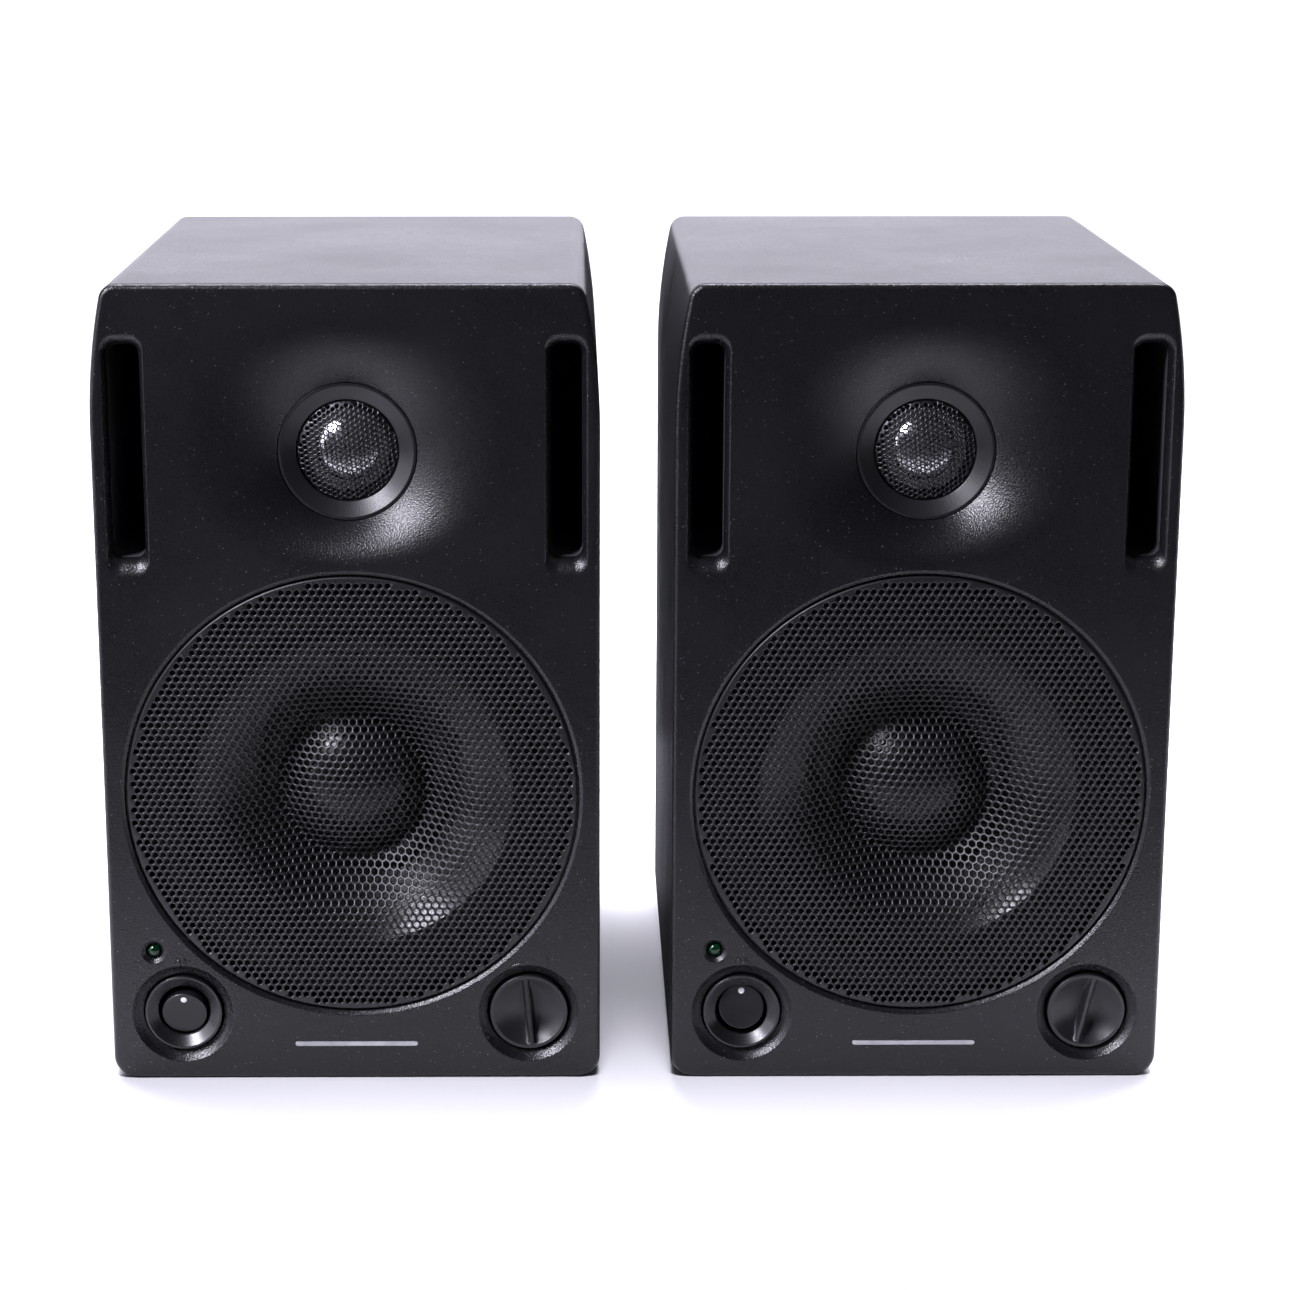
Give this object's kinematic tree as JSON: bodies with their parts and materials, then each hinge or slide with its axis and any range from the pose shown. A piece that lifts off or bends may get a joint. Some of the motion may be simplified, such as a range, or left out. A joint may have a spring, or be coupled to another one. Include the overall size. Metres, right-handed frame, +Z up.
{
  "type": "active desktop speakers",
  "caption": "Pair of compact active desktop speakers in die-cast cabinets, with perforated grilles, port slots, rocker switches, turning volume knobs and a rear socket panel.",
  "frame": {"origin": "centre of the pair's footprint, on the surface that it stands on", "axes": "+X to the listener's right, +Y from the baffles to the rear panels, +Z up"},
  "size_m": [0.324, 0.191, 0.247],
  "materials": {
    "cabinet_paint": "fine-textured satin charcoal paint on die-cast aluminium",
    "gasket_rubber": "matt black rubber",
    "duct_plastic": "matt black moulding",
    "grille_steel": "satin black powder coat on perforated steel",
    "driver_casting": "black coated casting",
    "magnet_steel": "dark zinc plate and ferrite",
    "cone_pulp": "coated black cone",
    "surround_rubber": "satin black rubber",
    "spider_cloth": "resin-stiffened cloth",
    "moulded_plastic": "satin black moulding",
    "gloss_plastic": "gloss black moulding",
    "socket_plastic": "black moulding",
    "slider_plastic": "white moulding",
    "dome_metal": "bright drawn metal",
    "lamp_lens": "clear dark green lens",
    "panel_metal": "black anodised look",
    "socket_metal": "black nickel",
    "screw_steel": "black zinc",
    "transformer_steel": "varnished laminations",
    "board_laminate": "green laminate"
  },
  "bodies": {
    "left_cabinet": {"left_front_baffle": "cabinet_paint", "left_rear_casing": "cabinet_paint", "left_casing_gasket": "gasket_rubber", "left_port_ducts": "duct_plastic", "left_woofer_grille": "grille_steel", "left_woofer_frame": "driver_casting", "left_woofer_magnet": "magnet_steel", "left_woofer_surround": "surround_rubber", "left_woofer_spider": "spider_cloth", "left_tweeter_ring": "moulded_plastic", "left_tweeter_mesh": "grille_steel", "left_tweeter_magnet": "magnet_steel", "left_power_lamp": "lamp_lens", "left_switch_body": "gloss_plastic", "left_volume_pot": "socket_plastic", "left_amplifier_panel": "panel_metal", "left_mains_inlet": "socket_plastic", "left_xlr_socket": "socket_metal", "left_jack_socket": "socket_plastic", "left_tone_switch": "socket_plastic", "left_panel_screws": "screw_steel", "left_transformer": "transformer_steel", "left_amplifier_board": "board_laminate"},
    "left_rocker": {"left_switch_rocker": "moulded_plastic"},
    "left_knob": {"left_volume_knob": "moulded_plastic"},
    "left_woofer": {"left_woofer_cone": "cone_pulp", "left_dust_cap": "cone_pulp"},
    "left_tweeter": {"left_tweeter_dome": "dome_metal"},
    "left_bass": {"left_bass_slider": "slider_plastic"},
    "left_treble": {"left_treble_slider": "slider_plastic"},
    "right_cabinet": {"right_front_baffle": "cabinet_paint", "right_rear_casing": "cabinet_paint", "right_casing_gasket": "gasket_rubber", "right_port_ducts": "duct_plastic", "right_woofer_grille": "grille_steel", "right_woofer_frame": "driver_casting", "right_woofer_magnet": "magnet_steel", "right_woofer_surround": "surround_rubber", "right_woofer_spider": "spider_cloth", "right_tweeter_ring": "moulded_plastic", "right_tweeter_mesh": "grille_steel", "right_tweeter_magnet": "magnet_steel", "right_power_lamp": "lamp_lens", "right_switch_body": "gloss_plastic", "right_volume_pot": "socket_plastic", "right_amplifier_panel": "panel_metal", "right_mains_inlet": "socket_plastic", "right_xlr_socket": "socket_metal", "right_jack_socket": "socket_plastic", "right_tone_switch": "socket_plastic", "right_panel_screws": "screw_steel", "right_transformer": "transformer_steel", "right_amplifier_board": "board_laminate"},
    "right_rocker": {"right_switch_rocker": "moulded_plastic"},
    "right_knob": {"right_volume_knob": "moulded_plastic"},
    "right_woofer": {"right_woofer_cone": "cone_pulp", "right_dust_cap": "cone_pulp"},
    "right_tweeter": {"right_tweeter_dome": "dome_metal"},
    "right_bass": {"right_bass_slider": "slider_plastic"},
    "right_treble": {"right_treble_slider": "slider_plastic"}
  },
  "joints": [
    {"name": "speaker_spacing", "type": "slide", "parent": "left_cabinet", "child": "right_cabinet", "axis": [1, 0, 0], "range_m": [0, 0.4]},
    {"name": "left_power_switch", "type": "hinge", "parent": "left_cabinet", "child": "left_rocker", "pos_m": [-0.14, -0.088, 0.0213], "axis": [1, 0, 0], "range_deg": [-26, 0]},
    {"name": "left_volume", "type": "hinge", "parent": "left_cabinet", "child": "left_knob", "pos_m": [-0.033, -0.0945, 0.0213], "axis": [0, 1, 0], "range_deg": [-144.6, 155.4]},
    {"name": "left_cone_travel", "type": "slide", "parent": "left_cabinet", "child": "left_woofer", "axis": [0, -1, 0], "range_m": [-0.0035, 0.0035], "stiffness_N_per_m": 1200, "deforming": ["left_woofer_surround", "left_woofer_spider"]},
    {"name": "left_dome_travel", "type": "slide", "parent": "left_cabinet", "child": "left_tweeter", "axis": [0, -1, 0], "range_m": [-0.0003, 0.0003], "stiffness_N_per_m": 200},
    {"name": "left_bass_tone", "type": "slide", "parent": "left_cabinet", "child": "left_bass", "axis": [1, 0, 0], "range_m": [0, 0.004]},
    {"name": "left_treble_tone", "type": "slide", "parent": "left_cabinet", "child": "left_treble", "axis": [1, 0, 0], "range_m": [0, 0.004]},
    {"name": "right_power_switch", "type": "hinge", "parent": "right_cabinet", "child": "right_rocker", "pos_m": [0.033, -0.088, 0.0213], "axis": [1, 0, 0], "range_deg": [0, 26]},
    {"name": "right_volume", "type": "hinge", "parent": "right_cabinet", "child": "right_knob", "pos_m": [0.14, -0.0945, 0.0213], "axis": [0, 1, 0], "range_deg": [-162.3, 137.7]},
    {"name": "right_cone_travel", "type": "slide", "parent": "right_cabinet", "child": "right_woofer", "axis": [0, -1, 0], "range_m": [-0.0035, 0.0035], "stiffness_N_per_m": 1200, "deforming": ["right_woofer_surround", "right_woofer_spider"]},
    {"name": "right_dome_travel", "type": "slide", "parent": "right_cabinet", "child": "right_tweeter", "axis": [0, -1, 0], "range_m": [-0.0003, 0.0003], "stiffness_N_per_m": 200},
    {"name": "right_bass_tone", "type": "slide", "parent": "right_cabinet", "child": "right_bass", "axis": [1, 0, 0], "range_m": [0, 0.004]},
    {"name": "right_treble_tone", "type": "slide", "parent": "right_cabinet", "child": "right_treble", "axis": [1, 0, 0], "range_m": [0, 0.004]}
  ]
}
